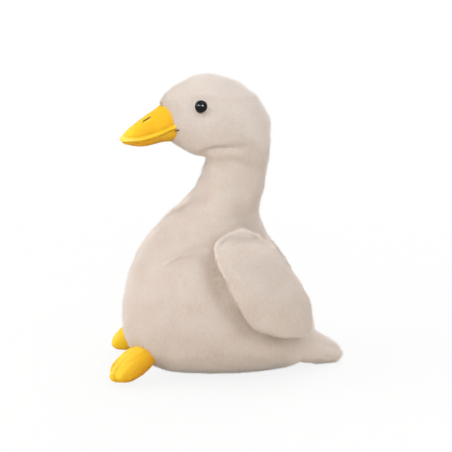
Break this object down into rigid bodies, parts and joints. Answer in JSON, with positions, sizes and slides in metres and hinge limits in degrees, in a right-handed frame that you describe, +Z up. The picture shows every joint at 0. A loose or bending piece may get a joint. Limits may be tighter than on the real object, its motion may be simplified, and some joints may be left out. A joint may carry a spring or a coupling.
{
  "type": "plush duck",
  "caption": "Seated stuffed duck with a long neck that bends, a nodding head, wings sewn at the shoulder, a blunt tail, a soft bill and webbed feet.",
  "frame": {"origin": "on the surface the duck sits on, in the middle of its length and width", "axes": "+Z up, -X the way the duck looks, +Y its right side"},
  "size_m": [0.2775, 0.1992, 0.35],
  "materials": {
    "fur": "short dense cream-white plush fur",
    "filling": "loose polyester fibre",
    "yellow_plush": "short-pile yellow plush",
    "orange_plush": "short-pile golden orange plush",
    "dark_thread": "twisted sewing thread",
    "orange_thread": "twisted sewing thread",
    "eye_plastic": "polished moulded plastic",
    "washer_plastic": "moulded plastic"
  },
  "bodies": {
    "torso": {"torso_skin": "fur", "torso_filling": "filling"},
    "neck": {"neck_skin": "fur", "neck_filling": "filling"},
    "head": {"head_skin": "fur", "head_filling": "filling", "left_eye": "eye_plastic", "right_eye": "eye_plastic", "left_eye_washer": "washer_plastic", "right_eye_washer": "washer_plastic", "upper_bill_skin": "yellow_plush", "upper_bill_filling": "filling", "lower_bill": "orange_plush", "left_nostril_stitch": "dark_thread", "right_nostril_stitch": "dark_thread", "left_mouth_stitch": "dark_thread", "right_mouth_stitch": "dark_thread"},
    "tail": {"tail_skin": "fur", "tail_filling": "filling"},
    "left_wing": {"left_wing_skin": "fur", "left_wing_filling": "filling"},
    "right_wing": {"right_wing_skin": "fur", "right_wing_filling": "filling"},
    "left_foot": {"left_foot_skin": "yellow_plush", "left_foot_filling": "filling", "left_first_toe_stitch": "orange_thread", "left_second_toe_stitch": "orange_thread"},
    "right_foot": {"right_foot_skin": "yellow_plush", "right_foot_filling": "filling", "right_first_toe_stitch": "orange_thread", "right_second_toe_stitch": "orange_thread"}
  },
  "joints": [
    {"name": "neck_bend", "type": "hinge", "parent": "torso", "child": "neck", "pos_m": [-0.017, 0, 0.19], "axis": [0, -1, 0], "range_deg": [-15, 20], "stiffness_Nm_per_rad": 3},
    {"name": "head_nod", "type": "hinge", "parent": "neck", "child": "head", "pos_m": [0.008, 0, 0.25], "axis": [0, -1, 0], "range_deg": [-20, 18], "stiffness_Nm_per_rad": 2},
    {"name": "tail_lift", "type": "hinge", "parent": "torso", "child": "tail", "pos_m": [0.1, 0, 0.0205], "axis": [0, -1, 0], "range_deg": [0, 35]},
    {"name": "left_wing_lift", "type": "hinge", "parent": "torso", "child": "left_wing", "pos_m": [0.005, -0.064, 0.168], "axis": [-0.9272, -0.3746, 0], "range_deg": [0, 75]},
    {"name": "right_wing_lift", "type": "hinge", "parent": "torso", "child": "right_wing", "pos_m": [0.005, 0.064, 0.168], "axis": [0.9272, -0.3746, 0], "range_deg": [0, 75]},
    {"name": "left_foot_swing", "type": "hinge", "parent": "torso", "child": "left_foot", "pos_m": [-0.098, -0.048, 0.034], "axis": [0.342, -0.9397, 0], "range_deg": [0, 25], "stiffness_Nm_per_rad": 0.15},
    {"name": "right_foot_swing", "type": "hinge", "parent": "torso", "child": "right_foot", "pos_m": [-0.098, 0.048, 0.034], "axis": [-0.342, -0.9397, 0], "range_deg": [0, 25], "stiffness_Nm_per_rad": 0.15}
  ]
}
